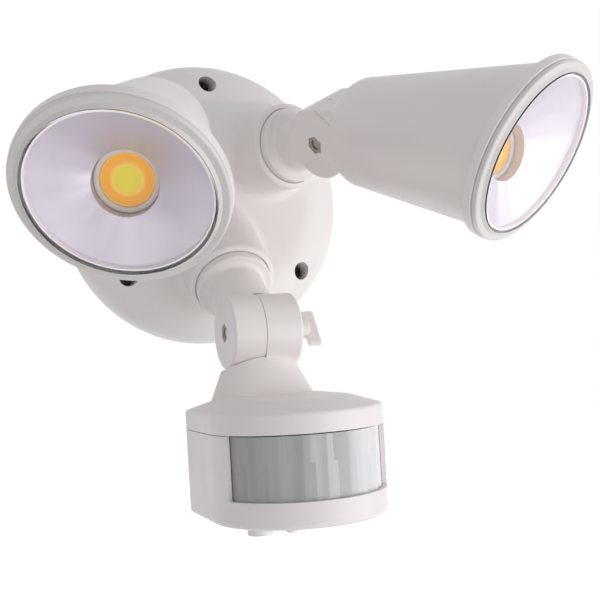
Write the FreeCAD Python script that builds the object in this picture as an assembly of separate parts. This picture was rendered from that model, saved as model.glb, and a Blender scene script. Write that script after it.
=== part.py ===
"""Twin-head LED security light with a motion sensor, for a wall.

Frame: millimetres, +Z up, the wall is the plane y = 0 and the light faces -Y.
The origin is the centre of the base's back face, on the wall.

Each swivelling assembly is built in a frame of its own and then placed. In such a
frame the hinge axis is X, forward is -Y and the origin is the hinge's centre, so a
depth d forward is the plane y = -d.
"""
import FreeCAD, Part
import math
import os

V = FreeCAD.Vector
Rotation = FreeCAD.Rotation
Placement = FreeCAD.Placement
X_AXIS = V(1, 0, 0)
Y_AXIS = V(0, 1, 0)
Z_AXIS = V(0, 0, 1)

# ---------------------------------------------------------------- driving sizes
# Clearances
swivel_fit = 0.06          # radial, spigot in its bore
hinge_fit = 0.06           # radial, hinge bolt in the turning ear
seat_gap = 0.3             # between faces that slide past each other
swing_gap = 0.4            # radial, round an ear or a flange that turns
part_gap = 0.3             # between fixed neighbours
thread_gap = 0.05          # radial, screw in its own hole

# Base cover: a dome with two lamp bosses on a cross bar and a sensor boss below
base_radius = 75.0
skirt_height = 8.0         # straight side wall, measured from the wall
shoulder_radius = 27.2
cover_wall = 2.5
gasket_thickness = 2.5
gasket_width = 7.0
gasket_inset = 0.5         # behind the base's rim
boss_radius = 21.8
boss_end_wall = 5.0
boss_recess_depth = 1.5
boss_edge_radius = 2.2
lamp_boss_inset = 41.2     # across, from the base's rim to the boss
lamp_boss_stand = 25.7     # from the dome's flat top
lamp_boss_drop = 52.2      # from the base's top
lamp_boss_splay = 15.6     # degrees outward
lamp_boss_droop = 1.4      # degrees downward
sensor_boss_inset = 29.0   # upward, from the base's rim to the boss
sensor_boss_stand = 21.8
sensor_boss_droop = 38.8
boss_root = 50.0           # how far a boss runs back into the dome
bar_overhang = 1.2         # past the bosses' radius
bar_sink = 10.4            # of the cross bar's centre line below the dome's flat top
bar_drop = 45.5            # from the base's top
junction_radius = 5.0      # where the bosses and the bar run into the dome

# Cover screws
cover_screw_angles = (90.0, -40.0, 220.0)
cover_screw_inset = 14.1   # from the base's rim
screw_well_radius = 4.7
screw_well_wall = 2.2
screw_seat_depth = 18.0
screw_seat_floor = 2.0
cover_screw_radius = 2.0
cover_screw_head_radius = 3.9
cover_screw_head_height = 2.6
cover_screw_bite = 8.0
cross_slot_width = 1.2
cross_slot_depth = 1.5
cross_slot_share = 0.7     # of the head's width
screw_edge_radius = 1.0

# Wall plate
plate_thickness = 3.0
plate_post_radius = 5.5
wall_hole_radius = 2.5
wall_hole_x = 44.0
wall_hole_z = 28.0
cable_hole_radius = 8.0
cable_hole_drop = 34.0
cable_radius = 4.5
grommet_flange = 3.0
grommet_lip = 2.0
grommet_collar = 1.0
grommet_nose_wall = 1.2

# Electronics in the base
board_width = 68.0
board_height = 46.0
board_thickness = 1.6
board_standoff = 4.0
board_gap = 2.0            # above the terminal block
standoff_radius = 3.0
standoff_margin = 0.5
driver_size = (38.0, 17.0, 34.0)
driver_offset = (-11.0, 0.0)     # from the board's centre
relay_size = (16.0, 15.0, 20.0)
relay_offset = (21.0, -6.0)
component_edge_radius = 0.8
terminal_size = (46.0, 13.0, 10.0)
terminal_above_cable = 16.0
terminal_ways = 5
terminal_screw_radius = 2.0
terminal_screw_sink = 1.0
terminal_screw_length = 6.0
terminal_slot_width = 0.6
terminal_slot_depth = 0.8

# Swivel arms
boss_lip = 2.9             # of the boss round the flange
flange_height = 4.5
flange_edge_radius = 1.0
stem_radius = 13.8
stem_fillet = 2.5
spigot_radius = 10.5
spigot_length = 15.0
wire_bore_radius = 6.0
wire_bore_stop = 3.0       # before the ear
lock_nut_radius = 15.0
lock_nut_height = 4.0
lock_nut_sides = 6
swivel_seal_inner = 12.5
swivel_seal_width = 2.5
swivel_seal_height = 1.2
lamp_reach = 36.3          # from the boss face to the lamp's hinge
sensor_reach = 39.7

# Hinge knuckle: the arm carries one ear, the head the other
ear_radius = 17.4
arm_ear_width = 14.5
sensor_arm_ear_width = 15.2
head_ear_width = 15.5
sensor_ear_width = 17.8
ear_edge_radius = 1.2
hinge_bolt_radius = 2.5
hinge_nut_flats = 8.0
hinge_nut_height = 4.0
hinge_nut_sink = 0.5
bolt_tip_sink = 1.2
bolt_head_radius = 4.75
bolt_head_height = 3.6
bolt_head_sink = 0.6
bolt_edge_radius = 0.8

# How the light stood in the photograph
right_swivel = 27.0
right_tilt = 16.3
left_swivel = -14.5
left_tilt = 23.2
sensor_swivel = 0.0
sensor_pitch = 0.0         # of the sensor head against the horizontal

# Lamp head
lamp_axis_rise = 2.8       # the cone's axis above the hinge
lamp_length = 115.4        # hinge to the centre of the front face
face_tilt = 20.1           # the face looks down by this much from the axis
lamp_wall = 2.2
back_face_gap = 0.1        # from the ear to the lamp's back face
back_shoulder = 7.8
back_radius = 25.5
shell_front_radius = 36.6
shell_rim_overhang = 3.2
shell_rim_depth = 4.2
rim_edge_radius = 0.6
neck_above = 15.5         # of the axis
neck_below = 16.5
neck_bury = 3.5            # into the lamp's back
neck_edge_radius = 2.5
bezel_step = 0.4           # inside the shell's rim
bezel_depth = 2.5
bezel_edge_radius = 0.9
bezel_lap = 1.3            # over the lens
bezel_slope_width = 1.3
bezel_rise = 1.2           # of the inner edge before the flat ring
bezel_lip = 0.5
lens_inset = 0.2           # behind the shell's outside
lens_thickness = 2.0
lens_seal_thickness = 0.6
led_setback = 21.9         # behind the centre of the front face
led_radius = 10.3
led_thickness = 0.8
led_edge_chamfer = 0.8
led_edge_height = 0.2
led_board_margin = 1.3
led_board_thickness = 1.5
reflector_clearance = 1.0  # round the LED's board
reflector_lip = 0.6        # flat edge at the mouth
reflector_well = 6.0
reflector_wall = 1.2
sink_inset = 8.2           # inside the shell's front radius
sink_plate = 3.0
sink_pedestal = 2.4
sink_fin_pitch = 6.0
sink_fin_thickness = 1.8
sink_fin_length = 24.0
sink_fin_inset = 7.0       # inside the sink's plate
lamp_wire_radius = 4.0
lamp_wire_x = -6.0

# Sensor head
head_radius = 37.9
head_arc_depth = 45.6      # hinge to the centre of the round front
head_side_back = 8.5       # depth of the back corners
head_back_width = 52.0
head_back = 6.0            # the back face stands this far behind the hinge
head_top_drop = 33.7       # rim of the cap below the hinge
head_crown = 4.5
head_crown_inset = 14.0
cap_band = 8.7
head_height = 45.9
head_wall = 2.0
crown_edge_radius = 6.0
cap_edge_radius = 1.5
lip_edge_radius = 2.5
window_half_angle = 68.0
window_height = 26.3
window_lens_lap = 3.0      # degrees behind each jamb
window_lens_foot = 1.0     # below the sill
fresnel_gap = 0.7          # behind the case's wall
fresnel_thickness = 1.2
neck_foot_half_width = 26.6
neck_foot_half_depth = 12.3
neck_foot_depth = 6.9
neck_foot_sink = 0.5
neck_blend_radius = 6.0    # between the neck and the ear
neck_top_half_width = 11.5
neck_top_half_depth = 10.3
neck_top_depth = 0.5
neck_top_drop = 3.0
sensor_board_width = 50.0
sensor_board_depth = 24.0
pyro_radius = 4.6
pyro_height = 5.0
pyro_flange = 0.6
pyro_flange_height = 0.8
pyro_drop = 56.0
trimmer_size = (9.0, 9.0, 5.0)
dial_x = (-20.0, -6.1)
dial_depth = 52.0
dial_radius = (5.4, 2.5)
dial_height = (4.6, 5.2)
dial_shaft_radius = 1.8
dial_slot_width = 1.2
dial_slot_depth = 1.0
dial_edge_radius = 0.5

# Wing bolt of the sensor's hinge
wing_hub_radius = 4.6
wing_hub_length = 8.0
wing_half_span = 9.7
wing_start = 6.2
wing_length = 7.0
wing_thickness = 2.6
wing_edge_radius = 1.2
wing_hub_edge_radius = 1.0
wing_lean = 33.7           # of the wings in the photograph, top edge backward

# ---------------------------------------------------------------- derived sizes
plate_radius = base_radius - gasket_width - part_gap - cover_wall
plateau_radius = base_radius - shoulder_radius
plateau_depth = skirt_height + shoulder_radius
lamp_boss_x = base_radius - lamp_boss_inset
lamp_boss_height = base_radius - lamp_boss_drop
bar_radius = boss_radius + bar_overhang
bar_height = base_radius - bar_drop
lamp_boss_depth = plateau_depth + lamp_boss_stand
sensor_boss_depth = plateau_depth + sensor_boss_stand
sensor_boss_drop = base_radius - sensor_boss_inset
bar_depth = plateau_depth - bar_sink
cover_screw_circle = base_radius - cover_screw_inset
terminal_centre_drop = cable_hole_drop - terminal_above_cable
board_bottom = terminal_size[2] / 2 - terminal_centre_drop + board_gap
board_centre_height = board_bottom + board_height / 2
flange_radius = boss_radius - boss_lip
boss_recess_radius = flange_radius + swing_gap
bore_radius = spigot_radius + swivel_fit
ear_clearance = ear_radius + swing_gap
back_face_depth = ear_radius + back_face_gap
neck_depth = back_face_depth + neck_bury
shell_rim_radius = shell_front_radius + shell_rim_overhang
bezel_radius = shell_rim_radius - bezel_step
lens_radius = shell_front_radius - lens_inset
bezel_opening = lens_radius - bezel_lap
bezel_flat_inner = bezel_opening + bezel_slope_width
led_depth = lamp_length - led_setback
led_board_radius = led_radius + led_board_margin
reflector_hole = led_board_radius + reflector_clearance
sink_radius = shell_front_radius - sink_inset
sink_fin_reach = sink_radius - sink_fin_inset
fresnel_radius = head_radius - head_wall - fresnel_gap
cap_top = -head_top_drop
cap_bottom = cap_top - cap_band
window_bottom = cap_bottom - window_height
head_bottom = cap_top - head_height


# ---------------------------------------------------------------- small helpers
def point(radius, depth):
    return V(radius, -depth, 0)


def turned(*steps):
    """Turn an outline about Y. A step is (radius, depth) for a straight run, or
    (radius, depth, radius, depth) for an arc through the first point to the second."""
    first = point(*steps[0])
    here = first
    edges = []
    for step in steps[1:]:
        there = point(*step[-2:])
        if len(step) == 4:
            edges.append(Part.Arc(here, point(*step[:2]), there).toShape())
        else:
            edges.append(Part.makeLine(here, there))
        here = there
    if here.distanceToPoint(first) > 1e-6:
        edges.append(Part.makeLine(here, first))
    return Part.Face(Part.Wire(edges)).revolve(V(), Y_AXIS, 360)


def rod(radius, start, end, x=0.0, z=0.0):
    """Cylinder along -Y from depth start to depth end."""
    return Part.makeCylinder(radius, end - start, V(x, -start, z), -Y_AXIS)


def ring(outer, inner, start, end, x=0.0, z=0.0):
    return rod(outer, start, end, x, z).cut(rod(inner, start - 1, end + 1, x, z))


def cross_pin(radius, start, end):
    """Cylinder along X."""
    return Part.makeCylinder(radius, end - start, V(start, 0, 0), X_AXIS)


def block(x0, x1, d0, d1, z0, z1):
    """Box between two x, two depths and two heights."""
    return Part.makeBox(x1 - x0, d1 - d0, z1 - z0, V(x0, -d1, z0))


def prism_x(sides, across_flats, start, end):
    """Regular prism along X, such as a nut."""
    corner = across_flats / 2 / math.cos(math.pi / sides)
    turns = [math.radians(360 * i / sides + 180 / sides) for i in range(sides)]
    loop = [V(start, corner * math.sin(a), corner * math.cos(a)) for a in turns]
    return Part.Face(Part.makePolygon(loop + loop[:1])).extrude(V(end - start, 0, 0))


def circle_at(radius, place):
    """Circle about the Y axis of a placement."""
    wire = Part.Wire(Part.makeCircle(radius, V(), -Y_AXIS))
    wire.Placement = place
    return wire


def moved(shape, place):
    out = shape.copy()
    out.Placement = place.multiply(out.Placement)
    return out


def group(solids):
    return Part.makeCompound(solids)


def rounded(shape, radius, pick):
    edges = [edge for edge in shape.Edges if pick(edge)]
    return shape.makeFillet(radius, edges)


def is_circle(edge, radius, depth=None, tolerance=0.02):
    """True for a round edge about Y of a radius, at a depth when one is given."""
    curve = edge.Curve
    if curve.TypeId != "Part::GeomCircle" or abs(curve.Radius - radius) > tolerance:
        return False
    return depth is None or abs(-curve.Center.y - depth) < tolerance


def at_height(edge, z):
    return abs(edge.CenterOfMass.z - z) < 0.01


def turn_x(degrees):
    return Placement(V(), Rotation(X_AXIS, degrees))


def shift(x, y, z):
    return Placement(V(x, y, z), Rotation())


# ---------------------------------------------------------------- frames
def lamp_boss_frame(side):
    """Frame on a lamp boss's end face; side is 1 for the right lamp, -1 for the left."""
    base = shift(side * lamp_boss_x, -lamp_boss_depth, lamp_boss_height)
    splay = Placement(V(), Rotation(Z_AXIS, side * lamp_boss_splay))
    return base.multiply(splay).multiply(turn_x(lamp_boss_droop))


def arm_frame(boss_frame, reach, swivel):
    """Frame at the hinge's centre, turned with the arm."""
    turn = Placement(V(), Rotation(-Y_AXIS, swivel))
    return boss_frame.multiply(shift(0, -reach, 0)).multiply(turn)


sensor_boss = shift(0, -sensor_boss_depth, -sensor_boss_drop).multiply(turn_x(sensor_boss_droop))
lamp_boss = {"left": lamp_boss_frame(-1), "right": lamp_boss_frame(1)}
lamp_swivel = {"left": left_swivel, "right": right_swivel}
lamp_tilt = {"left": left_tilt, "right": right_tilt}
lamp_arm = {s: arm_frame(lamp_boss[s], lamp_reach, lamp_swivel[s]) for s in lamp_boss}
lamp_frame = {s: lamp_arm[s].multiply(turn_x(lamp_tilt[s])) for s in lamp_boss}
sensor_arm_frame = arm_frame(sensor_boss, sensor_reach, sensor_swivel)
sensor_frame = sensor_arm_frame.multiply(turn_x(sensor_pitch - sensor_boss_droop))
rim_frame = shift(0, -lamp_length, lamp_axis_rise).multiply(turn_x(face_tilt))


# ---------------------------------------------------------------- base
def screw_spots():
    for angle in cover_screw_angles:
        a = math.radians(angle)
        yield cover_screw_circle * math.cos(a), cover_screw_circle * math.sin(a)


def is_junction(edge):
    """True for the edges where the cover's bosses, bar and dome meet each other."""
    round_end = edge.Curve.TypeId == "Part::GeomCircle"
    return edge.CenterOfMass.y < 2 - plateau_depth and not round_end


def cover_form(inset, back):
    """The cover's outer form, or with an inset its cavity."""
    r = shoulder_radius - inset
    mid = r * math.sqrt(0.5)
    dome = turned((0, back), (base_radius - inset, back), (base_radius - inset, skirt_height),
                  (plateau_radius + mid, skirt_height + mid, plateau_radius, skirt_height + r),
                  (0, skirt_height + r))
    bar = Part.makeCylinder(bar_radius - inset, 2 * lamp_boss_x,
                            V(-lamp_boss_x, -bar_depth, bar_height), X_AXIS)
    ends = boss_end_wall + boss_recess_depth if inset else 0.0
    tube = rod(boss_radius - inset, -boss_root, -ends)
    if not inset:
        tube = rounded(tube, boss_edge_radius, lambda e: is_circle(e, boss_radius, 0))
    tubes = [moved(tube, frame) for frame in (lamp_boss["left"], lamp_boss["right"], sensor_boss)]
    behind = block(-base_radius, base_radius, -base_radius, back, -base_radius, base_radius)
    form = dome.fuse([bar] + tubes).cut(behind).removeSplitter()
    return form if inset else rounded(form, junction_radius, is_junction)


def base_cover():
    outside = cover_form(0.0, gasket_thickness)
    cover = outside.cut(cover_form(cover_wall, gasket_thickness - 1))
    well_outer = screw_well_radius + screw_well_wall
    seat_back = screw_seat_depth - screw_seat_floor
    for x, z in screw_spots():
        pillar = rod(well_outer, seat_back, plateau_depth, x, z).common(outside)
        cover = cover.fuse(pillar)
    for x, z in screw_spots():
        cover = cover.cut(rod(screw_well_radius, screw_seat_depth, plateau_depth + 5, x, z))
        cover = cover.cut(rod(cover_screw_radius + part_gap, 0, plateau_depth, x, z))
    recess = rod(boss_recess_radius, -boss_recess_depth, 1)
    bore = rod(bore_radius, -boss_end_wall - boss_recess_depth - 1, 1)
    for frame in (lamp_boss["left"], lamp_boss["right"], sensor_boss):
        cover = cover.cut(moved(recess.fuse(bore), frame))
    return cover.removeSplitter()


def cover_screw(x, z):
    seat = screw_seat_depth
    tip = seat - screw_seat_floor - cover_screw_bite
    top = seat + cover_screw_head_height
    head = rod(cover_screw_head_radius, seat, top, x, z)
    head = rounded(head, screw_edge_radius, lambda e: is_circle(e, cover_screw_head_radius, top))
    half = cover_screw_head_radius * cross_slot_share
    low = top - cross_slot_depth
    thin = cross_slot_width / 2
    slots = block(x - half, x + half, low, top + 1, z - thin, z + thin)
    slots = slots.fuse(block(x - thin, x + thin, low, top + 1, z - half, z + half))
    return head.cut(slots).fuse(rod(cover_screw_radius, tip, seat, x, z))


def wall_plate():
    plate = rod(plate_radius, 0, plate_thickness)
    post_top = screw_seat_depth - screw_seat_floor
    for x, z in screw_spots():
        post = rod(plate_post_radius, 0, post_top, x, z)
        plate = plate.fuse(post)
    for x, z in board_corners():
        plate = plate.fuse(rod(standoff_radius, 0, plate_thickness + board_standoff, x, z))
    for x, z in screw_spots():
        bottom = post_top - cover_screw_bite - 1
        plate = plate.cut(rod(cover_screw_radius + thread_gap, bottom, post_top + 1, x, z))
    for x in (-wall_hole_x, wall_hole_x):
        for z in (-wall_hole_z, wall_hole_z):
            plate = plate.cut(rod(wall_hole_radius, -1, plate_thickness + 1, x, z))
    return plate.cut(rod(cable_hole_radius, -1, plate_thickness + 1, 0, -cable_hole_drop))


def cable_grommet():
    waist = cable_hole_radius - thread_gap
    collar = cable_hole_radius + grommet_lip
    front = plate_thickness + grommet_flange
    body = turned((cable_radius, 0), (waist, 0), (waist, plate_thickness),
                  (collar, plate_thickness), (collar, plate_thickness + grommet_collar),
                  (cable_radius + grommet_nose_wall, front), (cable_radius, front))
    return moved(body, shift(0, 0, -cable_hole_drop))


def wall_gasket():
    outer = base_radius - gasket_inset
    return ring(outer, outer - gasket_width, 0, gasket_thickness)


def board_corners():
    inset = standoff_radius + standoff_margin
    for x in (-board_width / 2 + inset, board_width / 2 - inset):
        for z in (-board_height / 2 + inset, board_height / 2 - inset):
            yield x, z + board_centre_height


board_face = plate_thickness + board_standoff + board_thickness


def control_board():
    half_x = board_width / 2
    half_z = board_height / 2
    mid = board_centre_height
    return block(-half_x, half_x, board_face - board_thickness, board_face,
                 mid - half_z, mid + half_z)


def on_board(size, offset):
    width, depth, height = size
    x = offset[0]
    z = board_centre_height + offset[1]
    body = block(x - width / 2, x + width / 2, board_face, board_face + depth,
                 z - height / 2, z + height / 2)
    return rounded(body, component_edge_radius, lambda e: abs(e.tangentAt(0).y) > 0.9)


def terminal_spots():
    width = terminal_size[0]
    pitch = width / terminal_ways
    for i in range(terminal_ways):
        yield (i - (terminal_ways - 1) / 2) * pitch


def terminal_block():
    width, depth, height = terminal_size
    back = plate_thickness
    front = back + depth
    mid = -terminal_centre_drop
    body = block(-width / 2, width / 2, back, front, mid - height / 2, mid + height / 2)
    for x in terminal_spots():
        hole_end = front - terminal_screw_sink - terminal_screw_length
        hole = rod(terminal_screw_radius + thread_gap, hole_end, front + 1, x, mid)
        body = body.cut(hole)
    return body


def terminal_screws():
    front = plate_thickness + terminal_size[1] - terminal_screw_sink
    mid = -terminal_centre_drop
    across = terminal_screw_radius + 1
    screws = []
    for x in terminal_spots():
        screw = rod(terminal_screw_radius, front - terminal_screw_length, front, x, mid)
        slot = block(x - across, x + across, front - terminal_slot_depth, front + 1,
                     mid - terminal_slot_width / 2, mid + terminal_slot_width / 2)
        screws.append(screw.cut(slot))
    return group(screws)


# ---------------------------------------------------------------- swivel arms
def swivel_arm(reach, ear_width):
    """Flange, stem and one ear. The boss face is the plane y = reach."""
    under = -reach - boss_recess_depth + seat_gap
    top = -reach + flange_height
    bend = stem_fillet * (1 - math.sqrt(0.5))
    edge = flange_edge_radius
    edge_bend = edge * (1 - math.sqrt(0.5))
    spin = turned((0, under - spigot_length), (spigot_radius, under - spigot_length),
                  (spigot_radius, under), (flange_radius, under),
                  (flange_radius, top - edge),
                  (flange_radius - edge_bend, top - edge_bend, flange_radius - edge, top),
                  (stem_radius + stem_fillet, top),
                  (stem_radius + bend, top + bend, stem_radius, top + stem_fillet),
                  (stem_radius, 0), (0, 0))
    ear = cross_pin(ear_radius, -ear_width, -seat_gap / 2)
    ear = ear.makeFillet(ear_edge_radius, [e for e in ear.Edges
                                           if abs(e.CenterOfMass.x + ear_width) < 0.01])
    room = cross_pin(ear_clearance, -seat_gap / 2, 2 * ear_radius)
    arm = spin.cut(room).fuse(ear)
    nut_floor = -ear_width + hinge_nut_sink + hinge_nut_height
    arm = arm.cut(prism_x(6, hinge_nut_flats + 2 * thread_gap, -ear_width - 1, nut_floor))
    arm = arm.cut(cross_pin(hinge_bolt_radius + thread_gap, -ear_width, 1))
    wires = rod(wire_bore_radius, under - spigot_length - 1, -ear_radius - wire_bore_stop)
    return arm.cut(wires).removeSplitter()


def swivel_seal(reach):
    back = -reach - boss_recess_depth + seat_gap
    outer = swivel_seal_inner + swivel_seal_width
    return ring(outer, swivel_seal_inner, back, back + swivel_seal_height)


def lock_nut(reach):
    """Nut on the spigot, behind the boss's end wall."""
    front = -reach - boss_recess_depth - boss_end_wall - seat_gap
    back = front - lock_nut_height
    corner = lock_nut_radius
    turns = [math.radians(360 * i / lock_nut_sides) for i in range(lock_nut_sides)]
    loop = [V(corner * math.cos(a), -back, corner * math.sin(a)) for a in turns]
    body = Part.Face(Part.makePolygon(loop + loop[:1])).extrude(V(0, back - front, 0))
    return body.cut(rod(spigot_radius + thread_gap, back - 1, front + 1))


def hinge_nut(ear_width):
    outer = -ear_width + hinge_nut_sink
    nut = prism_x(6, hinge_nut_flats, outer, outer + hinge_nut_height)
    return nut.cut(cross_pin(hinge_bolt_radius + thread_gap, outer - 1,
                             outer + hinge_nut_height + 1))


def hinge_bolt():
    tip = -arm_ear_width + bolt_tip_sink
    head_out = head_ear_width - bolt_head_sink
    head_in = head_out - bolt_head_height
    shank = cross_pin(hinge_bolt_radius, tip, head_in)
    head = cross_pin(bolt_head_radius, head_in, head_out)
    head = rounded(head, bolt_edge_radius, lambda e: abs(e.CenterOfMass.x - head_out) < 0.01)
    half = bolt_head_radius * cross_slot_share
    thin = cross_slot_width / 2
    for a, b in ((half, thin), (thin, half)):
        slot = Part.makeBox(2 * cross_slot_depth, 2 * a, 2 * b, V(head_out - cross_slot_depth, -a, -b))
        head = head.cut(slot)
    return shank.fuse(head)


def head_ear(width):
    """The turning half of the knuckle, before its bore."""
    ear = cross_pin(ear_radius, seat_gap / 2, width)
    return ear.makeFillet(ear_edge_radius, [e for e in ear.Edges
                                            if abs(e.CenterOfMass.x - width) < 0.01])


def clear_of_arm(shape):
    """Room for the arm's ear, and the bore for the hinge bolt."""
    shape = shape.cut(cross_pin(ear_clearance, -2 * ear_radius, seat_gap / 2))
    return shape.cut(cross_pin(hinge_bolt_radius + hinge_fit, -1, 2 * ear_radius))


# ---------------------------------------------------------------- lamp head
def on_lamp_axis(shape):
    return moved(shape, shift(0, 0, lamp_axis_rise))


def lamp_body(inset):
    """The lamp's outer form behind its rim, or with an inset its cavity."""
    r = back_shoulder - inset
    mid = r * (1 - math.sqrt(0.5))
    flat = back_radius - back_shoulder
    start = back_face_depth + inset
    turn_end = back_face_depth + back_shoulder
    back = turned((0, start), (flat, start),
                  (back_radius - inset - mid, start + mid, back_radius - inset, turn_end),
                  (0, turn_end))
    near = circle_at(back_radius - inset, shift(0, -turn_end, lamp_axis_rise))
    behind_front = bezel_depth + shell_rim_depth
    far = circle_at(shell_front_radius - inset, rim_frame.multiply(shift(0, behind_front, 0)))
    cone = Part.makeLoft([near, far], True, True)
    return on_lamp_axis(back).fuse(cone)


def lamp_neck():
    top = lamp_axis_rise + neck_above
    bottom = lamp_axis_rise - neck_below
    side = [V(0, 0, ear_radius), V(0, -neck_depth, top),
            V(0, -neck_depth, bottom), V(0, 0, bottom)]
    face = Part.Face(Part.makePolygon(side + side[:1]))
    face.translate(V(-arm_ear_width, 0, 0))
    neck = face.extrude(V(arm_ear_width + head_ear_width, 0, 0))
    return rounded(neck, neck_edge_radius, lambda e: abs(e.tangentAt(0).y) > 0.8)


def lamp_shell():
    flange_back = bezel_depth + shell_rim_depth
    rim = ring(shell_rim_radius, shell_front_radius - lamp_wall, -flange_back, -bezel_depth)
    rim = rounded(rim, rim_edge_radius, lambda e: is_circle(e, shell_rim_radius))
    seal_back = bezel_lip + lens_thickness + lens_seal_thickness
    pocket = rod(lens_radius + part_gap, -seal_back, 0)
    shell = lamp_body(0.0).fuse(lamp_neck())
    shell = clear_of_arm(shell.fuse(head_ear(head_ear_width)))
    shell = shell.cut(lamp_body(lamp_wall))
    shell = shell.fuse(moved(rim, rim_frame)).cut(moved(pocket, rim_frame))
    sink = head_ear_width - bolt_head_sink - bolt_head_height
    shell = shell.cut(cross_pin(bolt_head_radius + seat_gap, sink - 0.02, head_ear_width + 1))
    wires = rod(lamp_wire_radius, ear_radius, neck_depth + lamp_wall, lamp_wire_x, 0)
    return shell.cut(wires).removeSplitter()


def bezel():
    e = bezel_edge_radius
    bend = e * (1 - math.sqrt(0.5))
    body = turned((bezel_opening, -bezel_lip), (bezel_opening, bezel_rise),
                  (bezel_flat_inner, 0), (bezel_radius - e, 0),
                  (bezel_radius - bend, -bend, bezel_radius, -e),
                  (bezel_radius, -bezel_depth + rim_edge_radius),
                  (bezel_radius - rim_edge_radius, -bezel_depth),
                  (lens_radius + part_gap, -bezel_depth), (lens_radius + part_gap, -bezel_lip))
    return moved(body, rim_frame)


def lens():
    back = -bezel_lip - lens_thickness
    return moved(rod(lens_radius, back, -bezel_lip), rim_frame)


def lens_seal():
    front = bezel_lip + lens_thickness
    inner = shell_front_radius - lamp_wall
    return moved(ring(lens_radius, inner, -front - lens_seal_thickness, -front), rim_frame)


def reflector():
    front = bezel_lip + lens_thickness
    front_frame = rim_frame.multiply(shift(0, front, 0))
    mouth = shell_front_radius - lamp_wall - part_gap
    edge = led_depth + reflector_well
    hole_frame = shift(0, -edge, lamp_axis_rise)
    outer = Part.makeLoft([circle_at(reflector_hole + reflector_wall, hole_frame.multiply(
        shift(0, reflector_wall, 0))), circle_at(mouth, front_frame.multiply(
            shift(0, reflector_wall, 0)))], True, True)
    inner = Part.makeLoft([circle_at(reflector_hole, hole_frame),
                           circle_at(mouth - reflector_lip, front_frame)], True, True)
    band = moved(rod(mouth, -front - reflector_wall, -front), rim_frame)
    well = ring(reflector_hole + reflector_wall, reflector_hole, led_depth, edge)
    bowl = outer.fuse(band).cut(inner)
    bowl = bowl.cut(on_lamp_axis(rod(reflector_hole, led_depth - 5, edge + 0.2)))
    return bowl.fuse(on_lamp_axis(well)).removeSplitter()


def led_board():
    back = led_depth - led_thickness - led_board_thickness
    front = led_depth - led_thickness
    return on_lamp_axis(rod(led_board_radius, back, front))


def led_chip():
    front = led_depth
    body = turned((0, front - led_thickness), (led_radius, front - led_thickness),
                  (led_radius, front - led_edge_height),
                  (led_radius - led_edge_chamfer, front), (0, front))
    return on_lamp_axis(body)


def heat_sink():
    face = led_depth - led_thickness - led_board_thickness
    plate_front = face - sink_pedestal
    plate_back = plate_front - sink_plate
    body = rod(sink_radius, plate_back, plate_front).fuse(rod(led_board_radius, plate_front, face))
    rows = int(sink_fin_reach / sink_fin_pitch)
    for i in range(-rows, rows + 1):
        z = i * sink_fin_pitch
        half = math.sqrt(sink_fin_reach ** 2 - z ** 2)
        body = body.fuse(block(-half, half, plate_back - sink_fin_length, plate_back,
                               z - sink_fin_thickness / 2, z + sink_fin_thickness / 2))
    return on_lamp_axis(body)


# ---------------------------------------------------------------- sensor head
def head_plan(z, inset=0.0):
    """Outline of the sensor head from above: round front, straight sides."""
    r = head_radius - inset
    arc_y = -head_arc_depth
    half_back = head_back_width / 2 - inset * 0.6
    side_y = -head_side_back - inset * 0.4
    back_y = head_back - inset
    front = Part.Arc(V(-r, arc_y, z), V(0, arc_y - r, z), V(r, arc_y, z)).toShape()
    loop = [V(r, arc_y, z), V(r, side_y, z), V(half_back, back_y, z),
            V(-half_back, back_y, z), V(-r, side_y, z), V(-r, arc_y, z)]
    sides = [Part.makeLine(a, b) for a, b in zip(loop, loop[1:])]
    return Part.Wire([front] + sides)


def head_block(z0, z1, inset=0.0):
    return Part.Face(head_plan(z0, inset)).extrude(V(0, 0, z1 - z0))


def ellipse_at(half_width, half_depth, depth, z):
    stretch = FreeCAD.Matrix()
    stretch.scale(half_width, half_depth, 1)
    wire = Part.Wire(Part.makeCircle(1)).transformGeometry(stretch)
    wire.translate(V(0, -depth, z))
    return wire


def sensor_neck():
    top = ellipse_at(neck_top_half_width, neck_top_half_depth, neck_top_depth, -neck_top_drop)
    foot = ellipse_at(neck_foot_half_width, neck_foot_half_depth, neck_foot_depth, cap_top - neck_foot_sink)
    neck = Part.makeLoft([foot, top], True, True)
    neck = neck.fuse(head_ear(sensor_ear_width)).removeSplitter()
    return rounded(neck, neck_blend_radius, is_neck_root)


def is_neck_root(edge):
    """True where the head's ear runs down into the neck."""
    spot = edge.CenterOfMass
    return spot.x > 1 and -ear_radius < spot.z < -ear_radius / 2


def cap_form():
    """Outside of the cap: an upright band under a low crown."""
    crown_top = cap_top + head_crown
    sections = [head_plan(cap_top), head_plan(crown_top, head_crown_inset)]
    form = head_block(cap_bottom + part_gap, cap_top).fuse(Part.makeLoft(sections, True, True))
    form = form.removeSplitter()
    form = rounded(form, crown_edge_radius, lambda e: at_height(e, crown_top))
    return rounded(form, cap_edge_radius, lambda e: at_height(e, cap_top))


def sensor_cap():
    cap = cap_form().cut(head_block(cap_bottom - 1, cap_top - head_wall, head_wall))
    return clear_of_arm(cap.fuse(sensor_neck())).removeSplitter()


def sector(radius, half_angle, z0, z1):
    """Wedge of a disc about the centre of the head's round front."""
    start = V(0, -head_arc_depth, z0)
    wedge = Part.makeCylinder(radius, z1 - z0, start, Z_AXIS, 2 * half_angle)
    wedge.rotate(start, Z_AXIS, -90 - half_angle)
    return wedge


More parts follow.
